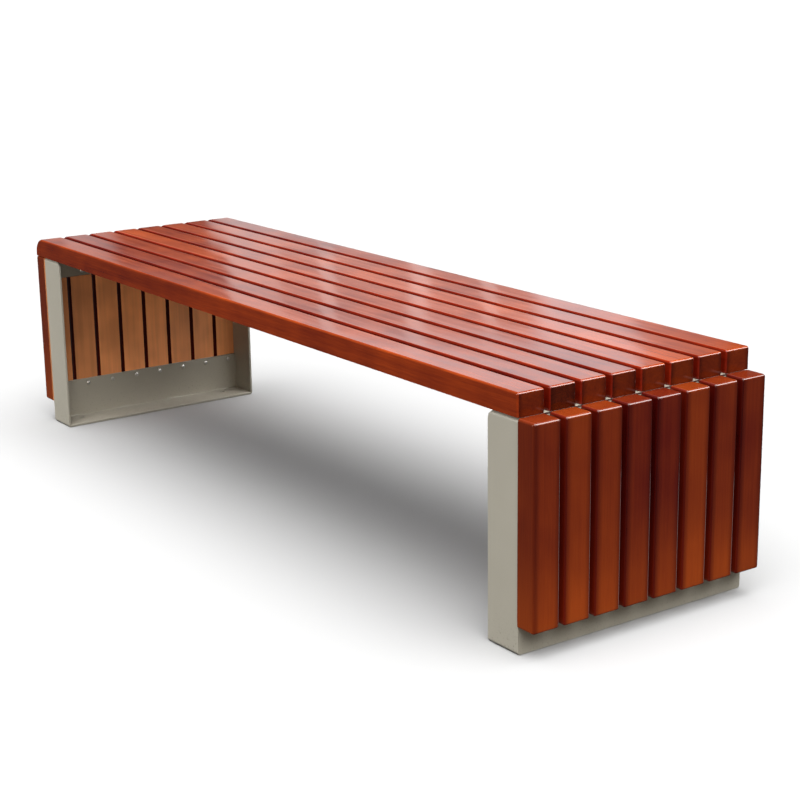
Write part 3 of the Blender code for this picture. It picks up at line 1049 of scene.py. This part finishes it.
def build_stage():
    """A plain pale floor that runs into a white backdrop."""
    bm = bmesh.new()
    bmesh.ops.create_circle(bm, cap_ends=True, segments=96, radius=FLOOR_RADIUS)
    floor = bpy.data.objects.new("floor", mesh_from(bm, "floor"))
    SCENE.collection.objects.link(floor)
    floor.location.z = -FLOOR_DROP
    material, _, shader = new_material("floor_white")
    shader.inputs["Base Color"].default_value = FLOOR_GREY
    shader.inputs["Roughness"].default_value = 1.0
    shader.inputs["Specular IOR Level"].default_value = 0.0
    floor.data.materials.append(material)
    camera_only(floor)

    bm = bmesh.new()
    bmesh.ops.create_uvsphere(bm, u_segments=48, v_segments=24, radius=BACKDROP_RADIUS)
    dome = bpy.data.objects.new("backdrop", mesh_from(bm, "backdrop"))
    SCENE.collection.objects.link(dome)
    material, _, shader = new_material("backdrop_white")
    shader.inputs["Base Color"].default_value = BLACK
    shader.inputs["Emission Color"].default_value = WHITE
    shader.inputs["Emission Strength"].default_value = 1.0
    dome.data.materials.append(material)
    camera_only(dome)


# Brightness of the studio's soft light, by how far a direction is from the one straight away from
# its ceiling (0) to the one straight at it (1)
LIGHT_STOPS = (
    (0.00, 0.06),
    (0.55, 0.06),
    (0.75, 0.035),
    (0.821, 0.035),
    (0.9415, 6.00),
    (1.00, 6.00),
)
CEILING_WAY = Vector((0.30, -0.10, 1.0)).normalized()


def build_world_light():
    """Soft light from a bright ceiling, with dim walls and a dark ground."""
    world = bpy.data.worlds.new("studio")
    world.use_nodes = True
    SCENE.world = world
    tree = world.node_tree
    way = add_node(tree, "ShaderNodeTexCoord").outputs["Generated"]
    towards = add_node(
        tree, "ShaderNodeVectorMath", {0: way, 1: CEILING_WAY}, operation="DOT_PRODUCT"
    ).outputs["Value"]
    ramp = add_node(
        tree, "ShaderNodeValToRGB", {0: calc(tree, "MULTIPLY_ADD", towards, 0.5, 0.5)}
    )
    brightest = max(level for _, level in LIGHT_STOPS)
    stops = ramp.color_ramp.elements
    while len(stops) < len(LIGHT_STOPS):
        stops.new(0.5)
    for stop, (position, level) in zip(stops, LIGHT_STOPS):
        stop.position = position
        stop.color = rgb(*[level / brightest] * 3)
    background = tree.nodes["Background"]
    tree.links.new(ramp.outputs[0], background.inputs["Color"])
    background.inputs["Strength"].default_value = brightest


# Low softboxes that lift the bench's upright faces: place, power, colour, and the pieces that they
# leave out. The floor takes its shading from the ceiling alone.
SOFTBOXES = {
    "left_softbox": (Vector((-4.2, -8.0, 1.6)), 265.0, (1.0, 1.0, 1.0), ("floor",)),
    "right_softbox": (Vector((7.6, -3.4, 1.2)), 72.0, (1.0, 0.86, 0.72), ("floor",)),
    "timber_softbox": (
        Vector((7.6, -3.4, 1.2)),
        106.0,
        (1.0, 0.86, 0.72),
        ("floor", "left_frame_steel", "left_frame_welds", "right_frame_steel"),
    ),
}
SOFTBOX_SIZE = (3.2, 1.6)
SOFTBOX_AIM = Vector((0.0, 0.0, 0.25))


def build_softboxes():
    """Large soft lamps, low on either side of the camera."""
    for name, (spot, power, colour, left_out) in SOFTBOXES.items():
        data = bpy.data.lights.new(name, "AREA")
        data.shape = "RECTANGLE"
        data.size, data.size_y = SOFTBOX_SIZE
        data.energy = power
        data.color = colour
        light = bpy.data.objects.new(name, data)
        light.location = spot
        light.rotation_mode = "QUATERNION"
        light.rotation_quaternion = (SOFTBOX_AIM - spot).to_track_quat("-Z", "Y")
        light.visible_camera = False
        unlit = bpy.data.collections.new(f"{name}_leaves_out")
        for piece in left_out:
            unlit.objects.link(bpy.data.objects[piece])
        for item in unlit.collection_objects:
            item.light_linking.link_state = "EXCLUDE"
        light.light_linking.receiver_collection = unlit
        SCENE.collection.objects.link(light)


# Glowing panes that only the varnish mirrors, as the camera sees them in the seat: from one
# azimuth to another (from -X towards +Y), from one elevation to another, brightness at the first
# and at the last azimuth, softness of the edges, how far each degree of elevation moves the pane
# back, and how blue it is. All angles are in degrees.
PANES = (
    (10.0, 24.2, 3.0, 25.0, 0.30, 0.40, 0.8, 0.0, 0.3),
    (24.0, 25.8, 3.0, 25.0, 0.60, 0.40, 0.8, 0.0, 0.3),
    (25.0, 29.4, 3.0, 25.0, 0.07, 0.10, 0.4, 0.0, 0.6),
    (25.0, 29.4, 10.6, 25.0, 0.34, 0.22, 0.8, 0.0, 0.6),
    (29.3, 31.2, 3.0, 13.2, 0.86, 0.70, 0.4, 0.0, 0.1),
    (30.8, 39.8, 3.0, 13.4, 0.50, 0.47, 0.5, 0.0, 0.1),
    (28.8, 35.0, 3.0, 9.9, 0.80, 0.80, 0.6, 0.0, 0.2),
    (32.3, 32.9, 10.0, 13.2, 0.92, 0.92, 0.2, 0.0, 0.0),
    (35.1, 35.8, 3.0, 13.4, 1.00, 1.00, 0.2, 0.1, 0.0),
    (37.7, 38.3, 3.0, 13.0, 0.92, 0.92, 0.2, 0.0, 0.0),
    (29.3, 43.2, 13.1, 25.0, 1.25, 1.25, 0.9, 0.0, 1.0),
    (39.4, 43.0, 3.0, 25.0, 1.28, 1.00, 1.4, 0.0, 1.0),
    (42.0, 46.5, 3.0, 25.0, 0.60, 0.12, 1.0, 0.0, 0.6),
)
BLUE_SHIFT = (0.30, 0.08, 0.0)  # what a fully blue pane lacks of each colour
PANE_SPANS = ((12.0, 46.0), (3.0, 25.0))  # azimuths and elevations that the panes lie between
PANE_STEPS = (340, 55)
PANE_DISTANCE = 15.0
LEAN_FROM = 13.5  # the elevation at which a leaning pane has its own azimuth

# Lamps mirrored only in the slats' rounded edges, the strip in those at the seat's right end and
# the low one in the upright slats' back edges: azimuths, elevations, brightness, distance
STRIP_LAMP = ((105.0, 142.0), (27.0, 60.0), 12.0, 8.0)
LOW_LAMP = ((94.0, 108.0), (-26.0, -18.5), 1.4, 8.0)
LAMP_STEPS = (6, 6)


def mirrored_way(azimuth, elevation):
    """The direction with this azimuth, from -X towards +Y, and this elevation."""
    a, e = math.radians(azimuth), math.radians(elevation)
    return Vector((-math.cos(a) * math.cos(e), math.sin(a) * math.cos(e), math.sin(e)))


def step_up(value, low, high):
    """0 below low, 1 above high, smooth between them."""
    share = min(1.0, max(0.0, (value - low) / (high - low)))
    return share * share * (3.0 - 2.0 * share)


def pane_glow(azimuth, elevation):
    """The colour of the brightest pane in one direction."""
    brightest, blueness = 0.0, 0.0
    for start, end, low, high, first, last, soft, lean, blue in PANES:
        shifted = azimuth - lean * (LEAN_FROM - elevation)
        inside = step_up(shifted, start - soft / 2, start + soft / 2)
        inside *= 1.0 - step_up(shifted, end - soft / 2, end + soft / 2)
        inside *= step_up(elevation, low - soft / 2, low + soft / 2)
        inside *= 1.0 - step_up(elevation, high - soft / 2, high + soft / 2)
        level = first + (last - first) * min(1.0, max(0.0, (shifted - start) / (end - start)))
        if inside * level > brightest:
            brightest, blueness = inside * level, blue
    return [brightest * (1.0 - blueness * lack) for lack in BLUE_SHIFT]


def glowing_shell(name, eye, azimuths, elevations, steps, distance, glow):
    """Part of a sphere round a point, seen only in glossy surfaces; glow is its brightness."""
    (start, end), (low, high) = azimuths, elevations
    across, up = steps
    places = []
    for i in range(across + 1):
        for j in range(up + 1):
            places.append((start + (end - start) * i / across, low + (high - low) * j / up))
    points = [eye + distance * mirrored_way(*place) for place in places]
    row = up + 1
    faces = []
    for i in range(across):
        for j in range(up):
            k = i * row + j
            faces.append((k, k + 1, k + row + 1, k + row))
    mesh = bpy.data.meshes.new(name)
    mesh.from_pydata(points, [], faces)
    levels = mesh.attributes.new("glow", "FLOAT_COLOR", "POINT")
    for item, place in zip(levels.data, places):
        item.color = rgb(*glow(*place))
    shell = bpy.data.objects.new(name, mesh)
    SCENE.collection.objects.link(shell)
    material, tree, shader = new_material(name)
    shader.inputs["Base Color"].default_value = BLACK
    shader.inputs["Specular IOR Level"].default_value = 0.0
    shader.inputs["Emission Strength"].default_value = 1.0
    level = add_node(tree, "ShaderNodeAttribute", attribute_name="glow").outputs["Color"]
    tree.links.new(level, shader.inputs["Emission Color"])
    mesh.materials.append(material)
    shell.visible_camera = False
    shell.visible_diffuse = False
    shell.visible_transmission = False
    shell.visible_shadow = False


def build_lamp(name, eye, lamp):
    """An evenly glowing shell."""
    azimuths, elevations, level, distance = lamp

    def glow(_azimuth, _elevation):
        return [level] * 3

    glowing_shell(name, eye, azimuths, elevations, LAMP_STEPS, distance, glow)


def build_panes():
    """Glowing panes behind the bench for its seat to mirror, and lamps for its edges."""
    seat_top = CAD_BOX[1].z
    mirrored_eye = Vector((CAMERA_SPOT.x, CAMERA_SPOT.y, 2 * seat_top - CAMERA_SPOT.z))
    glowing_shell(
        "mirrored_panes", mirrored_eye, *PANE_SPANS, PANE_STEPS, PANE_DISTANCE, pane_glow
    )
    seat_end = Vector((CAD_BOX[1].x, 0.0, seat_top))
    build_lamp("strip_lamp", seat_end, STRIP_LAMP)
    build_lamp("low_lamp", seat_end, LOW_LAMP)


build_seat()
for side in SIDES:
    build_end_slats(side)
    build_frame(side)
    build_strap(side)
build_screws()
build_camera()
build_stage()
build_world_light()
build_softboxes()
build_panes()
SCENE.view_settings.view_transform = "Standard"
